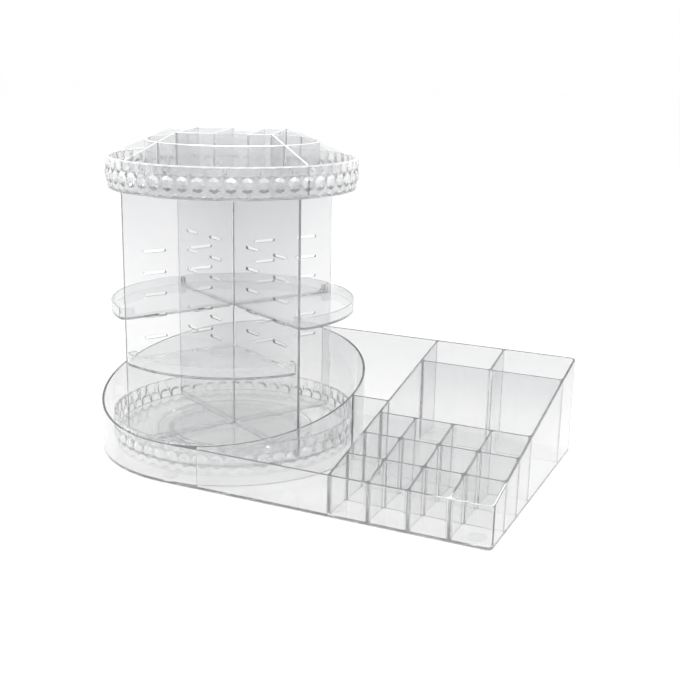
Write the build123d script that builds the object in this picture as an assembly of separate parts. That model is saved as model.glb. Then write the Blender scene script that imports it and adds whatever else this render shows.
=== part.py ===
from build123d import *
import math
import os

os.makedirs("parts", exist_ok=True)

# All sizes are in millimetres and all angles in degrees.

# Crystal-cut wall, shared by the two round trays of the tower.
tray_radius = 115.6
tray_wall = 3.6
facet_relief = 1.7
foot_undercut = 0.9
foot_scallop = 3.6
foot_ledge = 0.5
lens_crown = 0.5
lens_count = 52
lens_height = 13.4
lens_middle_share = 0.46
peak_rise = 1.7
brim_edge = 1.2
foot_edge = 0.7
crystal_height = 28.8
tray_floor = 2.6
lower_skirt = 8.2
upper_skirt = 0.6

# Base moulding: a round well for the tower at the left, a tiered caddy at the right.
well_clearance = 8.2
caddy_gap = 34.5
front_height = 36.4
back_height = 92.6
base_wall = 2.2
base_floor = 2.4
base_corner_round = 5.0
base_edge_round = 1.0
partition = 2.0
pocket_round = 3.0
wall_lip_round = 0.6
fuse_depth = 0.5
contact_gap = 0.1

# Caddy: a lipstick grid in front, an open tray behind it and two tall boxes at the back.
grid_columns = 4
grid_rows = 3
column_pitch = 34.6
row_pitch = 34.7
tall_box_depth = 41.6

# Anti-slip pads, set into the underside.
pad_radius = 7.0
pad_thickness = 2.0
pad_lift = 1.2
pad_inset = 17.0

# Ball turntable between the well floor and the tower.
race_radius = 75.0
race_thickness = 4.4
ball_count = 12
ball_diameter = 6.0
ball_circle_radius = 62.0
groove_depth = 1.3
rolling_clearance = 0.05
cage_width = 11.0
cage_thickness = 1.8
cage_pocket_clearance = 0.15
pin_radius = 4.0
pin_head_radius = 9.0
pin_head_thickness = 1.4
pin_fixed_clearance = 0.04
pin_running_clearance = 0.08
retainer_radius = 9.0
retainer_thickness = 1.2
retainer_recess_depth = 3.0
recess_clearance = 0.8
peened_head_radius = 5.2
peened_head_height = 0.9
locating_rim_height = 1.4
locating_rim_width = 1.8
locating_clearance = 0.3

# Upright cross of two panels with rows of shelf slots.
carousel_turn = -29.2
panel_edge_clearance = 0.4
panel_height = 231.4
panel_thickness = 2.4
panel_corner_round = 2.0
slot_length = 22.0
slot_height = 3.0
slot_rows = 6
slot_row_pitch = 19.7
first_slot_height = 78.3
inner_slot_radius = 35.0
outer_slot_radius = 82.0
interlock_clearance = 0.1
socket_height = 4.0
socket_wall = 1.5
socket_clearance = 0.15
socket_end_gap = 3.0
seat_gap = 0.3
floor_groove_depth = 1.2

# Quarter-round shelves.
shelf_overhang = 2.4
shelf_rim_height = 10.5
shelf_lip_height = 4.0
shelf_rim_sweep = 5.0
shelf_floor = 2.0
shelf_wall = 1.8
shelf_gap = 0.4
shelf_outer_round = 6.0
shelf_inner_round = 4.0
tongue_width = 6.0
tongue_end_gap = 0.2
tongue_slot_gap = 1.2
tongue_release_room = 4.7
tongue_tip_chamfer = 0.8
middle_shelf_row = 2
front_shelf_row = 0

# Compartments of the top tray, stepped up towards the middle.
divider_turn = 4.0
outer_bay_width = 33.0
ring_rise = 14.4
inner_bay_width = 18.0
box_rise = 22.1
tray_partition = 2.0
first_bay_share = 0.40
second_bay_share = 0.75
notch_depth = 3.0

# Levels and places worked out from the sizes above.
well_radius = tray_radius + well_clearance
end_radius = well_radius + base_wall
base_depth = 2 * end_radius
base_length = 2 * end_radius + caddy_gap + grid_columns * column_pitch + base_wall
left_x = -base_length / 2
right_x = base_length / 2
front_y = -base_depth / 2
back_y = base_depth / 2
axis_x = left_x + end_radius
base_bottom = pad_lift
well_floor = base_bottom + base_floor
right_inner_x = right_x - base_wall
front_inner_y = front_y + base_wall
back_inner_y = back_y - base_wall
caddy_x = right_inner_x + partition / 2 - grid_columns * column_pitch
cross_wall_y = back_inner_y - tall_box_depth - partition / 2
grid_front_y = front_inner_y - partition / 2

ball_radius = ball_diameter / 2
groove_radius = ball_radius + rolling_clearance
lower_race_bottom = well_floor + contact_gap
lower_race_top = lower_race_bottom + race_thickness
ball_level = lower_race_top - groove_depth + groove_radius
upper_race_bottom = ball_level + groove_radius - groove_depth
upper_race_top = upper_race_bottom + race_thickness
lower_tray_floor = upper_race_top + contact_gap
tray_inner_radius = tray_radius - tray_wall
panel_half_width = tray_inner_radius - panel_edge_clearance
shelf_radius = panel_half_width + shelf_overhang
panel_bottom = lower_tray_floor + tray_floor + contact_gap
panel_top = panel_bottom + panel_height
upper_tray_floor = panel_top + seat_gap - floor_groove_depth
slot_column_starts = (
    inner_slot_radius - slot_length / 2,
    outer_slot_radius - slot_length / 2,
)
shelf_offset = panel_thickness / 2 + shelf_gap
inner_tongue_offset = tongue_slot_gap
outer_tongue_offset = slot_length - tongue_width - tongue_release_room
rim_level = upper_tray_floor - upper_skirt + crystal_height
ring_radius = tray_inner_radius - outer_bay_width
box_corner_radius = ring_radius - inner_bay_width
box_half = box_corner_radius / math.sqrt(2)
plate_half = tray_partition / 2
plate_round = min(wall_lip_round, 0.3 * tray_partition)
plate_bottom = upper_tray_floor + tray_floor + contact_gap


def slot_level(row):
    """Height of the middle of a row of shelf slots."""
    return panel_bottom + first_slot_height + row * slot_row_pitch


def on_axis(level, turn=0.0):
    """Place on the tower axis at a height, turned with the tower."""
    return Pos(axis_x, 0, level) * Rot(0, 0, carousel_turn + turn)


def disc(radius, low, high):
    """Solid cylinder about the local Z axis between two heights."""
    return Pos(0, 0, low) * Cylinder(radius, high - low, align=(Align.CENTER, Align.CENTER, Align.MIN))


def tube(inner, outer, low, high):
    """Solid ring about the local Z axis between two heights."""
    return disc(outer, low, high) - disc(inner, low - 1, high + 1)


def block(x0, x1, y0, y1, z0, z1):
    """Solid box between two corners."""
    centre = Pos((x0 + x1) / 2, (y0 + y1) / 2, (z0 + z1) / 2)
    return centre * Box(x1 - x0, y1 - y0, z1 - z0)


def rectangle(x0, x1, y0, y1):
    """Flat rectangle between two corners."""
    return Pos((x0 + x1) / 2, (y0 + y1) / 2) * Rectangle(x1 - x0, y1 - y0)


def soften(region, radius):
    """Round every outward corner of a flat region."""
    return offset(offset(region, -radius), radius)


# Base moulding


def base_outline():
    """Plan of the base: half round at the left, square at the right."""
    outline = Pos(axis_x, 0) * Circle(end_radius)
    outline += rectangle(axis_x, right_x, front_y, back_y)
    corners = outline.vertices().filter_by(lambda v: v.X > right_x - 0.1)
    return fillet(corners, base_corner_round)


def corner_pockets():
    """The two spaces between the round well and the caddy, split by a short web."""
    pockets = []
    caddy_face = caddy_x - partition / 2
    for low, high in ((front_inner_y, -partition / 2), (partition / 2, back_inner_y)):
        space = rectangle(axis_x, caddy_face, low, high) - Pos(axis_x, 0) * Circle(end_radius)
        pockets.append(soften(space, pocket_round / 2))
    return pockets


def grid_pockets():
    """Square lipstick cells in rows and columns."""
    pockets = []
    for column in range(grid_columns):
        for row in range(grid_rows):
            x0 = caddy_x + column * column_pitch + partition / 2
            y0 = grid_front_y + row * row_pitch + partition / 2
            cell = rectangle(x0, x0 + column_pitch - partition, y0, y0 + row_pitch - partition)
            pockets.append(fillet(cell.vertices(), pocket_round))
    return pockets


def box_pockets():
    """The open tray behind the grid and the two tall boxes against the back wall."""
    left = caddy_x + partition / 2
    middle = (left + right_inner_x) / 2
    tray_front = grid_front_y + grid_rows * row_pitch + partition / 2
    tray = rectangle(left, right_inner_x, tray_front, cross_wall_y - partition / 2)
    rear_front = cross_wall_y + partition / 2
    rear_left = rectangle(left, middle - partition / 2, rear_front, back_inner_y)
    rear_right = rectangle(middle + partition / 2, right_inner_x, rear_front, back_inner_y)
    return [fillet(space.vertices(), pocket_round) for space in (tray, rear_left, rear_right)]


def slope_cutter():
    """Everything above the sloping plane that holds the tops of all the walls."""
    reach = 20.0
    rise = (back_height - front_height) / base_depth
    low = base_bottom + front_height - rise * reach
    high = base_bottom + back_height + rise * reach
    top = base_bottom + back_height + 3 * reach
    profile = Plane.YZ * Polygon(
        (front_y - reach, low),
        (back_y + reach, high),
        (back_y + reach, top),
        (front_y - reach, top),
        align=None,
    )
    return extrude(profile, amount=base_length, both=True)


def pad_places():
    """Centres of the pads: under the corners, the round end and the middle."""
    edge_y = back_y - pad_inset
    places = [(left_x + pad_inset, 0.0)]
    for x in (axis_x, caddy_x, right_x - pad_inset):
        places.append((x, -edge_y))
        places.append((x, edge_y))
    return places


def base_housing():
    """Well, corner spaces and caddy in one clear moulding."""
    body = extrude(Pos(0, 0, base_bottom) * base_outline(), amount=back_height)
    body = fillet(body.edges().group_by(Axis.Z)[0], min(base_edge_round, 0.4 * base_floor))
    pockets = [Pos(axis_x, 0) * Circle(well_radius)]
    pockets += corner_pockets() + grid_pockets() + box_pockets()
    for pocket in pockets:
        body -= extrude(Pos(0, 0, well_floor) * pocket, amount=back_height)
    body -= slope_cutter()
    body = round_wall_tops(body)
    for x, y in pad_places():
        body -= Pos(x, y, 0) * disc(pad_radius + locating_clearance, 0, pad_thickness + contact_gap)
    rim_inner = race_radius + locating_clearance
    rim_top = well_floor + locating_rim_height
    rim = tube(rim_inner, rim_inner + locating_rim_width, well_floor - fuse_depth, rim_top)
    return body + Pos(axis_x, 0, 0) * rim


def round_wall_tops(body):
    """Round the long edges along the tops of the walls."""
    up = Vector(0, front_height - back_height, base_depth)
    tops = [face for face in body.faces() if face.normal_at().get_angle(up) < 0.5]
    edges = [edge for face in tops for edge in face.edges()]
    return fillet(edges, min(wall_lip_round, 0.3 * partition, 0.3 * base_wall))


def base_feet():
    """Soft pads that stand proud of the underside."""
    pads = []
    for x, y in pad_places():
        pad = Pos(x, y, 0) * disc(pad_radius, 0, pad_thickness)
        pads.append(chamfer(pad.edges().filter_by(GeomType.CIRCLE).sort_by(Axis.Z)[:1], 0.4))
    return Compound(children=pads)


# Ball turntable


def groove():
    """Ring of round section that the balls run in."""
    return Pos(0, 0, ball_level) * Torus(ball_circle_radius, groove_radius)


def lower_race():
    """Disc fixed in the well, with the ball groove in its top."""
    body = disc(race_radius, lower_race_bottom, lower_race_top)
    body = chamfer(body.edges().filter_by(GeomType.CIRCLE).sort_by(Axis.Z)[-1:], 0.6)
    head_top = lower_race_bottom + pin_head_thickness
    body -= disc(pin_head_radius + recess_clearance, well_floor - 1, head_top + contact_gap)
    body -= disc(pin_radius + pin_fixed_clearance, well_floor, lower_race_top + 1)
    return body - groove()


def upper_race():
    """Disc fixed under the tower, with the matching groove and the retainer's recess."""
    body = disc(race_radius, upper_race_bottom, upper_race_top)
    body = chamfer(body.edges().filter_by(GeomType.CIRCLE).sort_by(Axis.Z)[:1], 0.6)
    recess_low = upper_race_top - retainer_recess_depth
    body -= disc(retainer_radius + recess_clearance, recess_low, lower_tray_floor + 1)
    body -= disc(pin_radius + pin_running_clearance, upper_race_bottom - 1, lower_tray_floor)
    return body - groove()


def bearing_cage():
    """Flat ring that spaces the balls."""
    low = ball_level - cage_thickness / 2
    high = ball_level + cage_thickness / 2
    ring = disc(ball_circle_radius + cage_width / 2, low, high)
    ring -= disc(ball_circle_radius - cage_width / 2, low - 1, high + 1)
    for place in PolarLocations(ball_circle_radius, ball_count):
        ring -= place * disc(ball_radius + cage_pocket_clearance, low - 1, high + 1)
    return ring


def bearing_balls():
    """The set of balls at rest in the cage."""
    balls = []
    for place in PolarLocations(ball_circle_radius, ball_count):
        balls.append(Pos(axis_x, 0, ball_level) * place * Sphere(ball_radius))
    return Compound(children=balls)


def bearing_pin():
    """Headed pin that holds the two races together."""
    recess_low = upper_race_top - retainer_recess_depth
    peened_low = recess_low + pin_running_clearance + retainer_thickness + pin_fixed_clearance
    body = disc(pin_head_radius, lower_race_bottom, lower_race_bottom + pin_head_thickness)
    body += disc(pin_radius, lower_race_bottom, peened_low)
    peened = disc(peened_head_radius, peened_low, peened_low + peened_head_height)
    peened = fillet(peened.edges().filter_by(GeomType.CIRCLE).sort_by(Axis.Z)[-1:], 0.5)
    return body + peened


def bearing_retainer():
    """Washer under the peened end, just clear of the upper race."""
    low = upper_race_top - retainer_recess_depth + pin_running_clearance
    body = disc(retainer_radius, low, low + retainer_thickness)
    return body - disc(pin_radius + pin_fixed_clearance, low - 1, low + retainer_thickness + 1)


# Crystal-cut wall


def facet_rings(bottom):
    """Corner points of one repeat of the cut pattern, as turn share, height and radius."""
    crest = tray_radius
    valley = tray_radius - facet_relief
    undercut = valley - foot_undercut
    foot = bottom + foot_edge
    brim = bottom + crystal_height - brim_edge
    half = lens_height / 2
    middle = bottom + lens_middle_share * crystal_height
    peak = middle + half + peak_rise
    return {
        "low_side": (0.0, bottom, undercut),
        "low_mid": (0.5, bottom, undercut),
        "foot_side": (0.0, foot + foot_scallop, undercut),
        "foot_mid": (0.5, foot, undercut),
        "ledge_side": (0.0, foot + foot_scallop + foot_ledge, valley),
        "ledge_mid": (0.5, foot + foot_ledge, valley),
        "side": (0.0, middle, valley),
        "lens_low_left": (0.15, middle - 0.70 * half, valley),
        "lens_low_right": (0.85, middle - 0.70 * half, valley),
        "lens_low": (0.5, middle - half, valley),
        "lens_high_left": (0.15, middle + 0.70 * half, valley),
        "lens_high_right": (0.85, middle + 0.70 * half, valley),
        "lens_high": (0.5, middle + half, valley),
        "table_left": (0.24, middle, crest),
        "table_right": (0.76, middle, crest),
        "table_low_left": (0.32, middle - 0.38 * half, crest),
        "table_low_right": (0.68, middle - 0.38 * half, crest),
        "table_high_left": (0.32, middle + 0.38 * half, crest),
        "table_high_right": (0.68, middle + 0.38 * half, crest),
        "table_low": (0.5, middle - 0.54 * half, crest),
        "table_high": (0.5, middle + 0.54 * half, crest),
        "table": (0.5, middle, crest + lens_crown),
        "peak": (0.0, peak, crest),
        "brim_side": (0.0, brim, crest - 0.3),
        "brim_mid": (0.5, brim, valley + 0.3),
        "top_side": (0.0, bottom + crystal_height, crest - 0.3),
        "top_mid": (0.5, bottom + crystal_height, crest - 0.3),
    }


# Triangles of one repeat; a name that ends in + belongs to the next repeat.
FACETS = (
    ("low_side", "low_mid", "foot_mid"), ("low_side", "foot_mid", "foot_side"),
    ("low_mid", "low_side+", "foot_side+"), ("low_mid", "foot_side+", "foot_mid"),
    ("foot_side", "foot_mid", "ledge_mid"), ("foot_side", "ledge_mid", "ledge_side"),
    ("foot_mid", "foot_side+", "ledge_side+"), ("foot_mid", "ledge_side+", "ledge_mid"),
    ("ledge_side", "ledge_mid", "lens_low"), ("ledge_side", "lens_low", "lens_low_left"),
    ("ledge_side", "lens_low_left", "side"), ("ledge_side+", "side+", "lens_low_right"),
    ("ledge_mid", "ledge_side+", "lens_low"), ("ledge_side+", "lens_low_right", "lens_low"),
    ("lens_low", "table_low", "table_low_left"), ("lens_low", "table_low_left", "lens_low_left"),
    ("lens_low_left", "table_low_left", "table_left"), ("lens_low_left", "table_left", "side"),
    ("side", "table_left", "lens_high_left"), ("lens_high_left", "table_left", "table_high_left"),
    ("lens_high_left", "table_high_left", "lens_high"), ("lens_high", "table_high_left", "table_high"),
    ("lens_low", "table_low_right", "table_low"), ("lens_low", "lens_low_right", "table_low_right"),
    ("lens_low_right", "table_right", "table_low_right"), ("lens_low_right", "side+", "table_right"),
    ("side+", "lens_high_right", "table_right"), ("lens_high_right", "table_high_right", "table_right"),
    ("lens_high_right", "lens_high", "table_high_right"), ("lens_high", "table_high", "table_high_right"),
    ("table", "table_low", "table_low_right"), ("table", "table_low_right", "table_right"),
    ("table", "table_right", "table_high_right"), ("table", "table_high_right", "table_high"),
    ("table", "table_high", "table_high_left"), ("table", "table_high_left", "table_left"),
    ("table", "table_left", "table_low_left"), ("table", "table_low_left", "table_low"),
    ("side", "lens_high_left", "peak"), ("lens_high_left", "lens_high", "peak"),
    ("lens_high_right", "side+", "peak+"), ("lens_high", "lens_high_right", "peak+"),
    ("peak", "lens_high", "brim_mid"), ("lens_high", "peak+", "brim_mid"),
    ("peak", "brim_mid", "brim_side"), ("peak+", "brim_side+", "brim_mid"),
    ("brim_side", "brim_mid", "top_mid"), ("brim_side", "top_mid", "top_side"),
    ("brim_mid", "brim_side+", "top_side+"), ("brim_mid", "top_side+", "top_mid"),
)


def crystal_blank(bottom):
    """Solid drum whose outside is cut in a row of lenses under a row of points."""
    points = facet_rings(bottom)
    step = 2 * math.pi / lens_count

    def corner(name, repeat):
        share, level, radius = points[name.rstrip("+")]
        turn = (repeat + share + name.count("+")) % lens_count * step
        return Vector(radius * math.cos(turn), radius * math.sin(turn), level)

    faces = []
    for repeat in range(lens_count):
        for names in FACETS:
            faces.append(Face(Wire.make_polygon([corner(name, repeat) for name in names])))
    low_ring = []
    top_ring = []
    for repeat in range(lens_count):
        low_ring += [corner("low_side", repeat), corner("low_mid", repeat)]
        top_ring += [corner("top_side", repeat), corner("top_mid", repeat)]
    faces.append(Face(Wire.make_polygon(low_ring)))
    faces.append(Face(Wire.make_polygon(top_ring)))
    return Solid(Shell(faces))


def crystal_tray(floor_level, skirt):
    """Round tray with the cut wall standing above and below its floor."""
    bottom = floor_level - skirt
    body = crystal_blank(bottom)
    body -= disc(tray_inner_radius, floor_level + tray_floor, bottom + crystal_height + 1)
    body -= disc(tray_inner_radius, bottom - 1, floor_level)
    rim = body.faces().sort_by(Axis.Z)[-1]
    return fillet(rim.edges().filter_by(GeomType.CIRCLE), min(wall_lip_round, 0.3 * tray_wall))


def cross(reach, half_width, low, high):
    """Two crossed bars along the panels."""
    bar = block(-reach, reach, -half_width, half_width, low, high)
    return bar + block(-half_width, half_width, -reach, reach, low, high)


def panel_sockets(low, high):
    """Cross of double ribs that grip the lower edges of the two panels."""
    groove_half = panel_thickness / 2 + socket_clearance
    reach = panel_half_width - socket_end_gap
    ribs = cross(reach, groove_half + socket_wall, low, high)
    return ribs - cross(reach + socket_end_gap, groove_half, low - 1, high + 1)


def lower_tray():
    """Bottom tray of the tower, with sockets for the cross and a rim round the upper race."""
    body = crystal_tray(lower_tray_floor, lower_skirt)
    floor_top = lower_tray_floor + tray_floor
    body += panel_sockets(floor_top, floor_top + socket_height)
    rim_inner = race_radius + locating_clearance
    rim_low = lower_tray_floor - locating_rim_height
    rim_top = lower_tray_floor + fuse_depth
    return body + tube(rim_inner, rim_inner + locating_rim_width, rim_low, rim_top)


# Upright cross


def cross_panel(slot_from_top):
    """Upright panel with shelf slots and a half-height slot for the other panel."""
    face = Pos(0, panel_height / 2) * Rectangle(2 * panel_half_width, panel_height)
    face = fillet(face.vertices(), panel_corner_round)
    for row in range(slot_rows):
        level = first_slot_height + row * slot_row_pitch
        for radius in (-outer_slot_radius, -inner_slot_radius, inner_slot_radius, outer_slot_radius):
            face -= Pos(radius, level) * SlotOverall(slot_length, slot_height)
    width = panel_thickness + 2 * interlock_clearance
    depth = panel_height / 2 + interlock_clearance
    low = panel_height - depth if slot_from_top else -1.0
    high = panel_height + 1.0 if slot_from_top else depth
    face -= rectangle(-width / 2, width / 2, low, high)
    return Pos(0, 0, panel_bottom) * extrude(Plane.XZ * face, amount=panel_thickness / 2, both=True)


# Quarter-round shelf


def shelf_plan():
    """Quarter of a disc, clear of the two panels beside it."""
    far = shelf_radius + 1
    plan = Circle(shelf_radius) & rectangle(shelf_offset, far, shelf_offset, far)
    vertices = plan.vertices().sort_by(lambda v: v.X**2 + v.Y**2)
    plan = fillet(vertices[0], shelf_inner_round)
    outer = [v for v in plan.vertices() if v.X**2 + v.Y**2 > (shelf_radius - 1) ** 2]
    return fillet(outer, shelf_outer_round)


def tongue(start):
    """Flat tongue on the shelf's left edge that enters the panel's slot."""
    reach = panel_thickness + shelf_gap - tongue_end_gap
    root = shelf_offset + shelf_wall / 2
    body = block(shelf_offset - reach, root, start, start + tongue_width, 0, shelf_floor)
    tips = body.edges().filter_by(Axis.Z).group_by(Axis.X)[0]
    return chamfer(tips, tongue_tip_chamfer)


def rim_cutter():
    """Takes the rim down to a low lip along one straight edge, with a swept end."""
    end = shelf_radius - shelf_outer_round - shelf_rim_sweep
    side = shelf_offset + shelf_outer_round
    cutter = block(0, end, 0, side, shelf_lip_height, 2 * shelf_rim_height)
    sweep = cutter.edges().filter_by(Axis.Y).group_by(Axis.Z)[0].sort_by(Axis.X)[-1]
    return fillet(sweep, shelf_rim_sweep)


def quarter_shelf():
    """Shelf with a rim along the arc, low lips and two tongues on each straight edge."""
    diagonal = Plane((0, 0, 0), z_dir=(1, -1, 0))
    plan = shelf_plan()
    body = extrude(plan, amount=shelf_rim_height)
    hollow = offset(plan, -shelf_wall)
    body -= extrude(Pos(0, 0, shelf_floor) * hollow, amount=shelf_rim_height)
    body = fillet(body.faces().sort_by(Axis.Z)[-1].edges(), shelf_wall / 4)
    cutter = rim_cutter()
    body -= cutter
    body -= mirror(cutter, about=diagonal)
    for start in slot_column_starts:
        body += tongue(start + inner_tongue_offset)
        body += mirror(tongue(start + outer_tongue_offset), about=diagonal)
    return body


def shelf_at(quarter, row):
    """Shelf in one quarter of the cross, its tongues resting in a row of slots."""
    level = slot_level(row) - slot_height / 2 + seat_gap
    return on_axis(level, quarter * 90) * quarter_shelf()


# Top tray


def step_cutter():
    """Everything above the tops of the top tray's partitions."""
    box_level = rim_level + box_rise
    sky = box_level + ring_rise
    profile = Plane.XZ * Polygon(
        (0, box_level),
        (box_corner_radius, box_level),
        (ring_radius, rim_level + ring_rise),
        (tray_inner_radius, rim_level),
        (tray_radius + 5, rim_level),
        (tray_radius + 5, sky),
        (0, sky),
        align=None,
    )
    return revolve(profile, Axis.Z)


def top_tray():
    """Round tray on top of the cross; the panels' top edges enter its grooved underside."""
    body = crystal_tray(upper_tray_floor, upper_skirt)
    groove_top = upper_tray_floor + floor_groove_depth
    groove_half = panel_thickness / 2 + seat_gap
    return body - cross(tray_inner_radius, groove_half, upper_tray_floor - 1, groove_top)


def top_ring():
    """Round wall on the tray's floor, between the outer and the inner compartments."""
    top = rim_level + box_rise
    ring = tube(ring_radius - plate_half, ring_radius + plate_half, plate_bottom, top)
    ring -= step_cutter()
    return fillet(ring.edges().filter_by(GeomType.CIRCLE).sort_by(Axis.Z)[-2:], plate_round)


def top_centre_box():
    """Square box of three slots, its middle slot notched front and back."""
    inner = box_half - tray_partition
    top = rim_level + box_rise
    walls = block(-box_half, box_half, -box_half, box_half, plate_bottom, top)
    first = (2 * first_bay_share - 1) * box_half
    second = (2 * second_bay_share - 1) * box_half
    slots = (
        (-inner, first - plate_half),
        (first + plate_half, second - plate_half),
        (second + plate_half, inner),
    )
    for x0, x1 in slots:
        walls -= block(x0, x1, -inner, inner, plate_bottom - 1, top + 1)
    notch = block(*slots[1], -box_half - 1, box_half + 1, top - notch_depth, top + 1)
    walls = fillet(walls.faces().sort_by(Axis.Z)[-1].edges(), plate_round)
    return Rot(0, 0, 45) * (walls - notch)


def top_dividers():
    """Radial plates: four that run out from the box's corners and two from its sides."""
    edge = box_half + contact_gap
    top = rim_level + box_rise
    box_room = Rot(0, 0, 45) * block(-edge, edge, -edge, edge, plate_bottom - 1, top + 1)
    inner_end = ring_radius - plate_half - contact_gap
    outer_start = ring_radius + plate_half + contact_gap
    outer_end = tray_inner_radius - contact_gap
    plates = []
    for turn in (0, 45, 90, 180, 225, 270):
        inner = block(box_half - plate_half, inner_end, -plate_half, plate_half, plate_bottom, top)
        outer = block(outer_start, outer_end, -plate_half, plate_half, plate_bottom, top)
        for plate in (inner, outer):
            plates.append(Rot(0, 0, turn) * plate - box_room - step_cutter())
    return plates


# Assembly

NODES = {
    "base_housing": base_housing(),
    "base_feet": base_feet(),
    "bearing_lower_race": Pos(axis_x, 0, 0) * lower_race(),
    "bearing_pin": Pos(axis_x, 0, 0) * bearing_pin(),
    "bearing_retainer": Pos(axis_x, 0, 0) * bearing_retainer(),
    "bearing_cage": Pos(axis_x, 0, 0) * bearing_cage(),
    "bearing_balls": bearing_balls(),
    "bearing_upper_race": Pos(axis_x, 0, 0) * upper_race(),
    "lower_tray": on_axis(0) * lower_tray(),
    "cross_panel_a": on_axis(0) * cross_panel(False),
    "cross_panel_b": on_axis(0, 90) * cross_panel(True),
    "shelf_right": shelf_at(0, middle_shelf_row),
    "shelf_back": shelf_at(1, middle_shelf_row),
    "shelf_left": shelf_at(2, middle_shelf_row),
    "shelf_front": shelf_at(3, front_shelf_row),
    "top_tray": on_axis(0) * top_tray(),
    "top_ring": on_axis(0, divider_turn) * top_ring(),
    "top_dividers": Compound(children=[on_axis(0, divider_turn) * plate for plate in top_dividers()]),
    "top_centre_box": on_axis(0, divider_turn) * top_centre_box(),
}

for name, shape in NODES.items():
    export_step(shape, f"parts/{name}.step")
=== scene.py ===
"""Finishes, studio and camera for a clear plastic makeup organizer with a turning tower."""

import logging
import math
from dataclasses import dataclass, replace
from enum import Enum
from typing import Dict, List, Optional, Sequence, Tuple, Union

import bpy
from mathutils import Matrix, Vector


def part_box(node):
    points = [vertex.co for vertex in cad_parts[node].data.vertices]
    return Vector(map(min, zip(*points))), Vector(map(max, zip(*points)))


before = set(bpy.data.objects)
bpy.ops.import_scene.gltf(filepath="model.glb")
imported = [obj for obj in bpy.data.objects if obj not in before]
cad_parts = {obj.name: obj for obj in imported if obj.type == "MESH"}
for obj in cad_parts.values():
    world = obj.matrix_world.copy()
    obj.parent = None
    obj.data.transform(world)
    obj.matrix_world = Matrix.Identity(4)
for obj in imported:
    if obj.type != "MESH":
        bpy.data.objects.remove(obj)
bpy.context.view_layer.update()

LOG = logging.getLogger("organizer")
Triple = Tuple[float, float, float]
Span = Tuple[float, float]
Socket = bpy.types.NodeSocket
TOWER_AXIS = tuple((low + high) / 2 for low, high in zip(*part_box("top_tray")))
TRAY_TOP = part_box("top_tray")[1][2]
WHOLE: Span = (0.0, 1.0)


class Level(Enum):
    """How bright a part of the tent is."""

    DARK = 0.15
    MIDDLE = 0.6
    WHITE = 1.0


class NodeTree:
    """Short ways to add and join the nodes of one material or world."""

    def __init__(self, tree: bpy.types.NodeTree) -> None:
        """Empties the tree.

        Args:
            tree: The node tree to build in.
        """
        self.tree = tree
        self.tree.nodes.clear()

    def add(self, kind: str, **settings: object) -> bpy.types.Node:
        """Adds a node.

        Args:
            kind: The node's type name.
            settings: Its properties.

        Returns:
            The new node.
        """
        node = self.tree.nodes.new(kind)
        for name, value in settings.items():
            setattr(node, name, value)
        return node

    def join(self, source: Socket, target: Socket) -> None:
        """Links an output socket to an input socket."""
        self.tree.links.new(source, target)

    def maths(self, operation: str, *values: Union[float, Socket], clamp: bool = False) -> Socket:
        """Adds a step of arithmetic.

        Args:
            operation: What is done with the values.
            values: Numbers or sockets, in the step's order.
            clamp: Whether the outcome is kept between nought and one.

        Returns:
            The outcome.
        """
        node = self.add("ShaderNodeMath", operation=operation, use_clamp=clamp)
        for value, target in zip(values, node.inputs):
            if isinstance(value, bpy.types.NodeSocket):
                self.join(value, target)
            else:
                target.default_value = value
        return node.outputs["Value"]

    def spread(
        self, source: Socket, limits: Span, result: Span = WHOLE, smooth: bool = False
    ) -> Socket:
        """Spreads a value between two limits over a new range.

        Args:
            source: The value.
            limits: Where it starts and ends.
            result: What it is at the start and at the end.
            smooth: Whether it sets off and arrives softly.

        Returns:
            The spread value.
        """
        kind = "SMOOTHSTEP" if smooth else "LINEAR"
        node = self.add("ShaderNodeMapRange", interpolation_type=kind)
        names = ("From Min", "From Max", "To Min", "To Max")
        for name, value in zip(names, (*limits, *result)):
            node.inputs[name].default_value = value
        self.join(source, node.inputs["Value"])
        return node.outputs["Result"]

    def blend(self, share: Socket, base: Socket, other: Triple) -> Socket:
        """Blends a fixed colour over another.

        Args:
            share: How much of the fixed colour shows.
            base: The colour below.
            other: The fixed colour.

        Returns:
            The blended colour.
        """
        node = self.add("ShaderNodeMix", data_type="RGBA")
        self.join(share, node.inputs["Factor"])
        self.join(base, node.inputs[6])
        node.inputs[7].default_value = (*other, 1.0)
        return node.outputs[2]

    def height_of(self, vector: Socket) -> Socket:
        """Gives the upward part of a vector."""
        node = self.add("ShaderNodeSeparateXYZ")
        self.join(vector, node.inputs["Vector"])
        return node.outputs["Z"]


class Place:
    """Where a point of a piece is, in metres and with the piece at rest."""

    def __init__(self, nodes: NodeTree) -> None:
        """Adds the source of the coordinates.

        Args:
            nodes: The tree to build in.
        """
        self.nodes = nodes
        source = nodes.add("ShaderNodeTexCoord")
        self.spot = source.outputs["Object"]
        self.normal = source.outputs["Normal"]

    def height(self) -> Socket:
        """Gives the height above the table."""
        return self.nodes.height_of(self.spot)

    def tilt(self) -> Socket:
        """Gives the height of the normal: one looks up, minus one looks down."""
        return self.nodes.height_of(self.normal)

    def radius(self) -> Socket:
        """Gives the distance from the tower's axis."""
        from_axis = self.nodes.add("ShaderNodeVectorMath", operation="SUBTRACT")
        from_axis.inputs[1].default_value = TOWER_AXIS
        self.nodes.join(self.spot, from_axis.inputs[0])
        flat = self.nodes.add("ShaderNodeVectorMath", operation="MULTIPLY")
        flat.inputs[1].default_value = (1.0, 1.0, 0.0)
        self.nodes.join(from_axis.outputs["Vector"], flat.inputs[0])
        length = self.nodes.add("ShaderNodeVectorMath", operation="LENGTH")
        self.nodes.join(flat.outputs["Vector"], length.inputs[0])
        return length.outputs["Value"]


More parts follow.
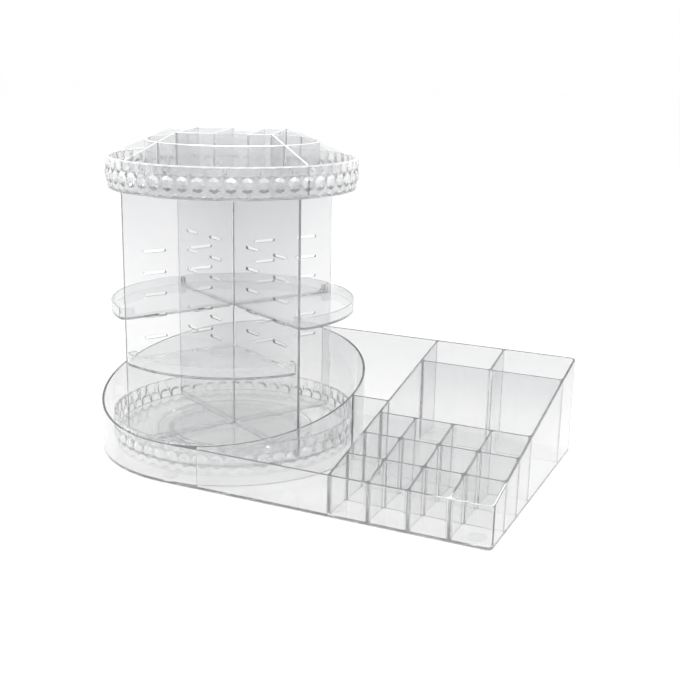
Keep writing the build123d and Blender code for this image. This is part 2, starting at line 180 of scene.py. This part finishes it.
@dataclass(frozen=True)
class PaintedTopEdge:
    """Painted light on the narrow edges along the tops of walls: their upward faces get a fixed
    colour, a white painted highlight on some pieces and a grey painted shade on others.

    Level and radius say how high, and how far from the tower's axis, these edges start. Tilts say
    how far up a face has to look to belong to them.
    """

    # colour and cloud: the painted colour of the edges, white for a highlight and grey for shade,
    # and how much of it shows
    colour: Triple
    cloud: float
    level: float = 0.0
    radius: float = 0.0
    tilts: Span = (0.4, 0.7)

    def share(self, place: Place) -> Socket:
        """Picks out the edges.

        Args:
            place: Where the point is.

        Returns:
            One on the top edges and nought elsewhere.
        """
        nodes = place.nodes
        # Painted light: faces that look up take the edge colour.
        upward = nodes.spread(place.tilt(), self.tilts, smooth=True)
        high = nodes.maths("GREATER_THAN", place.height(), self.level)
        far = nodes.maths("GREATER_THAN", place.radius(), self.radius)
        return nodes.maths("MULTIPLY", upward, nodes.maths("MULTIPLY", high, far))


@dataclass(frozen=True)
class CutWall:
    """Painted light on a tray's crystal-cut wall: a painted highlight on the pale rim and pale
    upper bevels, painted shade on the dark lower bevels and foot.

    Radius is where the cuts start, about the tower's axis. The rim ends at its level and the
    undercut foot starts at its own. Tilts are heights of a facet's normal, and the facet's share
    grows from the first to the second.
    """

    radius: float
    rim_level: float
    foot_level: float
    contrast: float = 0.9
    # Painted shade colour for the lower bevels and foot, then the share of painted light and shade
    # on the facets, and the painted highlight share of the rim.
    shade: Triple = (0.16, 0.165, 0.17)
    facet_light_shade_share: float = 0.42
    rim_highlight_share: float = 0.8
    rim_blend: float = 0.0003
    rim_height: float = 0.0016
    cut_blend: float = 0.0005
    down_tilts: Span = (-0.12, -0.50)
    ledge_tilts: Span = (-0.62, -0.70)
    up_tilts: Span = (0.12, 0.55)
    # How much painted shade the undercut foot gets.
    foot_share: float = 0.55
    foot_depth: float = 0.0001
    foot_play: float = 0.0003
    foot_half: float = 0.005
    ripple_scale: float = 170.0
    ripple_height: float = 0.0007

    def _cuts(self, place: Place) -> Socket:
        """Picks out the cut wall below the rim.

        Args:
            place: Where the point is.

        Returns:
            One on the cuts and nought elsewhere.
        """
        limits = (self.radius, self.radius + self.cut_blend)
        outside = place.nodes.spread(place.radius(), limits)
        rim_foot = self.rim_level - self.rim_height
        below_rim = place.nodes.maths("LESS_THAN", place.height(), rim_foot)
        return place.nodes.maths("MULTIPLY", outside, below_rim)

    def _foot(self, place: Place) -> Socket:
        """Picks out the undercut foot.

        Args:
            place: Where the point is.

        Returns:
            One in the undercut and nought elsewhere.
        """
        nodes = place.nodes
        # Mask for the painted shade on the undercut foot.
        depth = self.radius - self.foot_depth
        near = nodes.maths("COMPARE", place.radius(), depth, self.foot_play)
        middle = self.foot_level + self.foot_half
        low = nodes.maths("COMPARE", place.height(), middle, self.foot_half)
        return nodes.maths("MULTIPLY", near, low)

    def _facets(self, place: Place, cuts: Socket, tilts: Span) -> Socket:
        """Picks out the facets that tilt up or down.

        Args:
            place: Where the point is.
            cuts: Where the cuts are.
            tilts: The tilts at which the share starts and is whole.

        Returns:
            The share of each facet.
        """
        tilted = place.nodes.spread(place.tilt(), tilts, (0.0, self.contrast))
        return place.nodes.maths("MULTIPLY", tilted, cuts)

    def dress(self, place: Place, tint: Socket, cloud: float, shader: bpy.types.Node) -> None:
        """Sets the wall's colour and clearness, with its painted highlight and painted shade.

        Args:
            place: Where the point is.
            tint: The plastic's colour, with its painted shade by height.
            cloud: Its cloudiness.
            shader: The shader to set.
        """
        nodes = place.nodes
        # Painted light: upward bevels and the ledges turn pale, the rim gets a painted highlight,
        # and downward bevels and the foot get painted shade.
        cuts = self._cuts(place)
        down = self._facets(place, cuts, self.down_tilts)
        ledge = self._facets(place, cuts, self.ledge_tilts)
        bevel = nodes.maths("SUBTRACT", down, ledge, clamp=True)
        foot_share = self.foot_share * self.contrast
        dark = nodes.maths("MULTIPLY_ADD", self._foot(place), foot_share, bevel, clamp=True)
        nodes.join(nodes.blend(dark, tint, self.shade), shader.inputs["Base Color"])
        pale = nodes.maths("ADD", self._facets(place, cuts, self.up_tilts), ledge)
        both = nodes.maths("ADD", pale, dark)
        rim_limits = (self.rim_level - self.rim_blend, self.rim_level)
        rim_result = (1.0 - cloud, 1.0 - self.rim_highlight_share)
        rim = nodes.spread(place.height(), rim_limits, rim_result, smooth=True)
        clear = nodes.maths("MULTIPLY_ADD", both, -self.facet_light_shade_share, rim)
        nodes.join(clear, shader.inputs["Transmission Weight"])

    def ripple(self, place: Place, below: bpy.types.Node) -> bpy.types.Node:
        """Adds the fine ripple of the cuts.

        Args:
            place: Where the point is.
            below: The bump that the ripple is added to.

        Returns:
            The bump with the ripple.
        """
        nodes = place.nodes
        cells = nodes.add("ShaderNodeTexVoronoi", feature="SMOOTH_F1")
        cells.inputs["Scale"].default_value = self.ripple_scale
        nodes.join(place.spot, cells.inputs["Vector"])
        bump = nodes.add("ShaderNodeBump")
        bump.inputs["Distance"].default_value = self.ripple_height
        nodes.join(self._cuts(place), bump.inputs["Strength"])
        nodes.join(cells.outputs["Distance"], bump.inputs["Height"])
        nodes.join(below.outputs["Normal"], bump.inputs["Normal"])
        return bump


@dataclass(frozen=True)
class ClearPlastic:
    """Clear moulded plastic with painted shade: its colour darkens from its lower to its upper
    level.

    Each wall takes a little light, and so does the depth of plastic. The levels are heights in
    metres above the table.
    """

    name: str
    tint: Triple
    shaded_upper_tint: Triple
    levels: Span
    cloud: float
    ior: float = 1.49
    hazes: Span = (0.0, 0.03)
    haze_limits: Span = (0.35, 0.75)
    absorb_colour: Triple = (0.90, 0.91, 0.915)
    density: float = 14.0
    wave_scale: float = 14.0
    wave_detail: float = 2.0
    wave_height: float = 0.00025
    # Painted highlight and painted shade on the tops of walls.
    painted_top_edge: Optional[PaintedTopEdge] = None
    # Painted light and shade on the crystal cuts.
    cut_wall: Optional[CutWall] = None

    def _tint_with_painted_shade(self, place: Place) -> Socket:
        """Adds the colour that follows the height, darker up high: painted shade.

        Args:
            place: Where the point is.

        Returns:
            The colour.
        """
        # Painted shade: the colour darkens from the lower to the upper level.
        ramp = place.nodes.add("ShaderNodeValToRGB")
        low, high = ramp.color_ramp.elements
        low.color = (*self.tint, 1.0)
        high.color = (*self.shaded_upper_tint, 1.0)
        place.nodes.join(place.nodes.spread(place.height(), self.levels), ramp.inputs["Fac"])
        return ramp.outputs["Color"]

    def _paint_edge_light(self, place: Place, tint: Socket, shader: bpy.types.Node) -> None:
        """Sets the colour and clearness of the top edges, which carry painted light.

        Args:
            place: Where the point is.
            tint: The plastic's colour, with its painted shade by height.
            shader: The shader to set.
        """
        edge = self.painted_top_edge.share(place)
        colour = place.nodes.blend(edge, tint, self.painted_top_edge.colour)
        place.nodes.join(colour, shader.inputs["Base Color"])
        result = (1.0 - self.cloud, 1.0 - self.painted_top_edge.cloud)
        clear = place.nodes.spread(edge, WHOLE, result)
        place.nodes.join(clear, shader.inputs["Transmission Weight"])

    def _add_flow(self, place: Place, shader: bpy.types.Node) -> None:
        """Adds the slight waves and haze that moulding leaves.

        Args:
            place: Where the point is.
            shader: The shader to set.
        """
        nodes = place.nodes
        flow = nodes.add("ShaderNodeTexNoise")
        flow.inputs["Scale"].default_value = self.wave_scale
        flow.inputs["Detail"].default_value = self.wave_detail
        nodes.join(place.spot, flow.inputs["Vector"])
        bump = nodes.add("ShaderNodeBump")
        bump.inputs["Strength"].default_value = 1.0
        bump.inputs["Distance"].default_value = self.wave_height
        nodes.join(flow.outputs["Fac"], bump.inputs["Height"])
        if self.cut_wall:
            bump = self.cut_wall.ripple(place, bump)
        nodes.join(bump.outputs["Normal"], shader.inputs["Normal"])
        haze = nodes.spread(flow.outputs["Fac"], self.haze_limits, self.hazes)
        nodes.join(haze, shader.inputs["Roughness"])

    def build(self) -> bpy.types.Material:
        """Makes the node material.

        Returns:
            The finished material.
        """
        material = bpy.data.materials.new(self.name)
        material.use_nodes = True
        nodes = NodeTree(material.node_tree)
        output = nodes.add("ShaderNodeOutputMaterial")
        shader = nodes.add("ShaderNodeBsdfPrincipled")
        shader.inputs["Transmission Weight"].default_value = 1.0 - self.cloud
        shader.inputs["IOR"].default_value = self.ior
        place = Place(nodes)
        tint = self._tint_with_painted_shade(place)
        nodes.join(tint, shader.inputs["Base Color"])
        if self.painted_top_edge:
            self._paint_edge_light(place, tint, shader)
        if self.cut_wall:
            self.cut_wall.dress(place, tint, self.cloud, shader)
        self._add_flow(place, shader)
        nodes.join(shader.outputs["BSDF"], output.inputs["Surface"])
        depth = nodes.add("ShaderNodeVolumeAbsorption")
        depth.inputs["Color"].default_value = (*self.absorb_colour, 1.0)
        depth.inputs["Density"].default_value = self.density
        nodes.join(depth.outputs["Volume"], output.inputs["Volume"])
        return material


@dataclass(frozen=True)
class Silicone:
    """Soft, nearly clear pad rubber with a fine matt grain."""

    name: str = "pad_silicone"
    colour: Triple = (0.97, 0.97, 0.97)
    grain_share: float = 0.9
    roughness: float = 0.30
    grain_scale: float = 900.0
    grain_height: float = 0.00005

    def build(self) -> bpy.types.Material:
        """Makes the node material.

        Returns:
            The finished material.
        """
        material = bpy.data.materials.new(self.name)
        material.use_nodes = True
        nodes = NodeTree(material.node_tree)
        output = nodes.add("ShaderNodeOutputMaterial")
        shader = nodes.add("ShaderNodeBsdfPrincipled")
        shader.inputs["Roughness"].default_value = self.roughness
        shader.inputs["Transmission Weight"].default_value = 1.0
        grain = nodes.add("ShaderNodeTexNoise")
        grain.inputs["Scale"].default_value = self.grain_scale
        nodes.join(Place(nodes).spot, grain.inputs["Vector"])
        ramp = nodes.add("ShaderNodeValToRGB")
        dark, light = ramp.color_ramp.elements
        dark.color = (*(self.grain_share * part for part in self.colour), 1.0)
        light.color = (*self.colour, 1.0)
        nodes.join(grain.outputs["Fac"], ramp.inputs["Fac"])
        nodes.join(ramp.outputs["Color"], shader.inputs["Base Color"])
        bump = nodes.add("ShaderNodeBump")
        bump.inputs["Distance"].default_value = self.grain_height
        nodes.join(grain.outputs["Fac"], bump.inputs["Height"])
        nodes.join(bump.outputs["Normal"], shader.inputs["Normal"])
        nodes.join(shader.outputs["BSDF"], output.inputs["Surface"])
        return material


def dress(node: str, material: bpy.types.Material) -> None:
    """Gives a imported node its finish.

    Args:
        node: The node's name.
        material: The finish.
    """
    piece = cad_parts[node]
    piece.data.materials.clear()
    piece.data.materials.append(material)
    LOG.info("dressed %s in %s", node, material.name)


@dataclass
class Tower:
    """The turning tower: trays, crossed panels and quarter shelves."""

    bottom_tray: str = "lower_tray"
    top_tray: str = "top_tray"
    plates: Sequence[str] = ("top_ring", "top_dividers", "top_centre_box")
    panels: Sequence[str] = ("cross_panel_a", "cross_panel_b")
    shelves: Sequence[str] = ("shelf_front", "shelf_right", "shelf_back", "shelf_left")
    cut_radius: float = 0.1131
    shelf_lip_radius: float = 0.1121
    rim_edge: float = 0.0011
    foot_edge: float = 0.0013
    lower_contrast: float = 0.45

    def build(self) -> None:
        """Dresses every piece of the tower."""
        # Painted light on the cut walls: a painted highlight on rim and upper bevels, painted
        # shade on lower bevels and foot, weaker on the lower tray.
        upper_wall = CutWall(
            self.cut_radius, rim_level=TRAY_TOP - self.rim_edge,
            foot_level=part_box(self.top_tray)[0][2] + self.foot_edge,
        )
        lower_wall = replace(
            upper_wall, contrast=self.lower_contrast,
            foot_level=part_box(self.bottom_tray)[0][2] + self.foot_edge,
        )
        # The crystal colour darkens slightly up high: painted shade.
        crystal = ClearPlastic(
            "crystal_moulding", tint=(0.993, 0.994, 0.996), shaded_upper_tint=(0.975, 0.978, 0.982),
            levels=(0.02, 0.26), cloud=0.02, wave_height=0.0, cut_wall=upper_wall,
        )
        lower_crystal = replace(crystal, name="lower_crystal", cut_wall=lower_wall)
        # Panels: painted shade darkens the colour towards the upper level.
        sheet = ClearPlastic(
            "panel_sheet", tint=(0.995, 0.996, 0.997), shaded_upper_tint=(0.83, 0.835, 0.845),
            levels=(0.06, 0.25), cloud=0.11, wave_scale=6.0,
        )
        # Shelves: painted shade darkens them up high, and grey painted shade lies on the lips'
        # upward faces.
        shelf = ClearPlastic(
            "shelf_moulding", tint=(0.985, 0.987, 0.99), shaded_upper_tint=(0.90, 0.903, 0.91),
            levels=(0.10, 0.14), cloud=0.07,
            painted_top_edge=PaintedTopEdge((0.80, 0.803, 0.81), 0.35, radius=self.shelf_lip_radius),
        )
        # Plates: a white painted highlight on their upward top edges.
        plate = ClearPlastic(
            "plate_moulding", tint=(0.96, 0.963, 0.967), shaded_upper_tint=(0.94, 0.943, 0.948),
            levels=(0.25, 0.29), cloud=0.10, painted_top_edge=PaintedTopEdge((0.98, 0.98, 0.98), 0.8),
        )
        finishes = (
            (crystal, (self.top_tray,)), (lower_crystal, (self.bottom_tray,)),
            (sheet, self.panels), (shelf, self.shelves), (plate, self.plates),
        )
        for finish, pieces in finishes:
            material = finish.build()
            for node in pieces:
                dress(node, material)


@dataclass
class Turntable:
    """The ball turntable under the tower."""

    discs: Sequence[str] = ("bearing_lower_race", "bearing_upper_race", "bearing_cage")
    rivet: Sequence[str] = ("bearing_pin", "bearing_retainer")
    balls: str = "bearing_balls"

    def build(self) -> None:
        """Dresses every piece of the turntable."""
        # The races' colour darkens slightly up high: painted shade.
        material = ClearPlastic(
            "race_moulding", tint=(0.995, 0.995, 0.995), shaded_upper_tint=(0.99, 0.99, 0.99),
            levels=(0.004, 0.016), cloud=0.01, wave_scale=30.0,
        ).build()
        for node in (*self.discs, *self.rivet, self.balls):
            dress(node, material)


@dataclass
class Base:
    """The base moulding with its well and caddy, on soft pads.

    The top edges that start at the edge level are those of the walls and get a grey painted shade,
    and the floors lie below it.
    """

    housing: str = "base_housing"
    pads: str = "base_feet"
    edge_level: float = 0.03

    def build(self) -> None:
        """Dresses the base and its pads."""
        # Painted shade: a darker colour up high, and grey lines on the upward faces of the wall
        # tops.
        moulding = ClearPlastic(
            "base_moulding", tint=(0.992, 0.993, 0.995), shaded_upper_tint=(0.87, 0.873, 0.88),
            levels=(0.025, 0.085), cloud=0.075, wave_scale=9.0,
            painted_top_edge=PaintedTopEdge((0.25, 0.255, 0.26), 0.5, level=self.edge_level),
        )
        dress(self.housing, moulding.build())
        dress(self.pads, Silicone().build())


@dataclass
class PhotoCamera:
    """Camera at the place and angle from which the photograph was taken."""

    place: Triple = (0.4223, -0.8590, 0.3624)
    yaw: float = math.radians(24.87)
    pitch: float = math.radians(14.58)
    roll: float = math.radians(1.08)
    lens: float = 56.68
    sensor: float = 36.0
    reach: float = 50.0

    def build(self) -> None:
        """Adds the camera and makes it the scene's."""
        forward = Vector((
            -math.sin(self.yaw) * math.cos(self.pitch),
            math.cos(self.yaw) * math.cos(self.pitch),
            -math.sin(self.pitch),
        ))
        level_right = Vector((math.cos(self.yaw), math.sin(self.yaw), 0.0))
        level_up = level_right.cross(forward)
        right = math.cos(self.roll) * level_right + math.sin(self.roll) * level_up
        up = math.cos(self.roll) * level_up - math.sin(self.roll) * level_right
        data = bpy.data.cameras.new("photo_camera")
        data.lens = self.lens
        data.sensor_width = self.sensor
        data.clip_end = self.reach
        camera = bpy.data.objects.new("photo_camera", data)
        bpy.context.scene.collection.objects.link(camera)
        turn = Matrix((right, up, -forward)).transposed()
        camera.matrix_world = Matrix.Translation(self.place) @ turn.to_4x4()
        bpy.context.scene.camera = camera


@dataclass(frozen=True)
class SoftBox:
    """Lamp with a flat face.

    Place and target are in metres, size is the face's width and height in metres, and power is in
    watts.
    """

    name: str
    place: Triple
    target: Triple
    size: Span
    power: float

    def build(self) -> None:
        """Adds the lamp and points it at its target."""
        data = bpy.data.lights.new(self.name, "AREA")
        data.shape = "RECTANGLE"
        data.size, data.size_y = self.size
        data.energy = self.power
        lamp = bpy.data.objects.new(self.name, data)
        lamp.location = self.place
        aim = Vector(self.target) - Vector(self.place)
        lamp.rotation_euler = aim.to_track_quat("-Z", "Y").to_euler()
        bpy.context.scene.collection.objects.link(lamp)


@dataclass
class Studio:
    """White floor, soft boxes and a white tent that is darker high up on the camera's side.

    Bands give the tent's brightness by the height of the direction, from nought at the horizon to
    one overhead. Dark_heights and dark_reach say where the darker side starts and is whole.
    """

    floor_size: float = 30.0
    floor_diffuse: float = 0.12
    floor_glow: float = 0.92
    bands: Sequence[Tuple[float, Level]] = (
        (0.0, Level.WHITE), (0.33, Level.WHITE), (0.42, Level.MIDDLE), (0.62, Level.MIDDLE),
        (0.72, Level.WHITE),
    )
    new_band: float = 0.5
    dark_side: Triple = (0.44, -0.90, 0.0)
    dark_level: Level = Level.DARK
    dark_heights: Span = (0.31, 0.40)
    dark_reach: Span = (0.0, 0.30)
    lamps: Sequence[SoftBox] = (
        SoftBox("rear_strip", (-0.85, 1.30, 2.10), (-0.1, 0.0, 0.3), (3.6, 0.34), 48.0),
        SoftBox("front_strip", (0.45, -1.00, 2.00), (-0.1, 0.0, 0.3), (2.6, 0.28), 30.0),
        SoftBox("left_box", (-1.9, -0.9, 1.2), (0.0, 0.0, 0.1), (0.7, 0.7), 12.0),
        SoftBox("right_box", (1.9, -0.5, 1.5), (0.0, 0.0, 0.1), (0.7, 0.7), 12.0),
    )

    def build(self) -> None:
        """Builds the tent, the floor and the lamps."""
        self._tent()
        self._floor()
        for lamp in self.lamps:
            lamp.build()

    def _tent(self) -> None:
        """Makes the surroundings, whose brightness follows the direction."""
        world = bpy.data.worlds.new("studio_world")
        world.use_nodes = True
        bpy.context.scene.world = world
        nodes = NodeTree(world.node_tree)
        output = nodes.add("ShaderNodeOutputWorld")
        background = nodes.add("ShaderNodeBackground")
        direction = nodes.add("ShaderNodeTexCoord").outputs["Generated"]
        height = nodes.height_of(direction)
        ramp = nodes.add("ShaderNodeValToRGB")
        elements = ramp.color_ramp.elements
        while len(elements) < len(self.bands):
            elements.new(self.new_band)
        for element, (position, level) in zip(elements, self.bands):
            element.position = position
            element.color = (level.value,) * 3 + (1.0,)
        nodes.join(height, ramp.inputs["Fac"])
        nodes.join(ramp.outputs["Color"], background.inputs["Color"])
        facing = nodes.add("ShaderNodeVectorMath", operation="DOT_PRODUCT")
        facing.inputs[1].default_value = self.dark_side
        nodes.join(direction, facing.inputs[0])
        side = nodes.spread(facing.outputs["Value"], self.dark_reach, smooth=True)
        high = nodes.spread(height, self.dark_heights, smooth=True)
        shade = nodes.maths("MULTIPLY", side, high)
        strength = nodes.spread(shade, WHOLE, (1.0, self.dark_level.value))
        nodes.join(strength, background.inputs["Strength"])
        nodes.join(background.outputs["Background"], output.inputs["Surface"])

    def _floor(self) -> None:
        """Makes the white floor, which keeps a soft shadow."""
        half = self.floor_size / 2
        mesh = bpy.data.meshes.new("studio_floor")
        corners = [(-half, -half, 0.0), (half, -half, 0.0), (half, half, 0.0), (-half, half, 0.0)]
        mesh.from_pydata(corners, [], [(0, 1, 2, 3)])
        floor = bpy.data.objects.new("studio_floor", mesh)
        bpy.context.scene.collection.objects.link(floor)
        material = bpy.data.materials.new("floor_paper")
        material.use_nodes = True
        nodes = NodeTree(material.node_tree)
        output = nodes.add("ShaderNodeOutputMaterial")
        paper = nodes.add("ShaderNodeBsdfDiffuse")
        paper.inputs["Color"].default_value = (self.floor_diffuse,) * 3 + (1.0,)
        glow = nodes.add("ShaderNodeEmission")
        glow.inputs["Strength"].default_value = self.floor_glow
        both = nodes.add("ShaderNodeAddShader")
        nodes.join(paper.outputs["BSDF"], both.inputs[0])
        nodes.join(glow.outputs["Emission"], both.inputs[1])
        nodes.join(both.outputs["Shader"], output.inputs["Surface"])
        mesh.materials.append(material)


@dataclass
class LightPaths:
    """How often light may pass or bounce, so that it crosses many clear walls in a row."""

    through: int = 40
    off: int = 30

    def build(self) -> None:
        """Sets the limits."""
        cycles = bpy.context.scene.cycles
        cycles.max_bounces = self.through
        cycles.transmission_bounces = self.through
        cycles.transparent_max_bounces = self.through
        cycles.glossy_bounces = self.off
        cycles.diffuse_bounces = self.off


def main() -> None:
    """Builds the studio and dresses each sub-assembly in turn."""
    logging.basicConfig(level=logging.INFO)
    PhotoCamera().build()
    Studio().build()
    Base().build()
    Turntable().build()
    Tower().build()
    LightPaths().build()
    bpy.context.scene.view_settings.view_transform = "Standard"


if __name__ == "__main__":
    main()
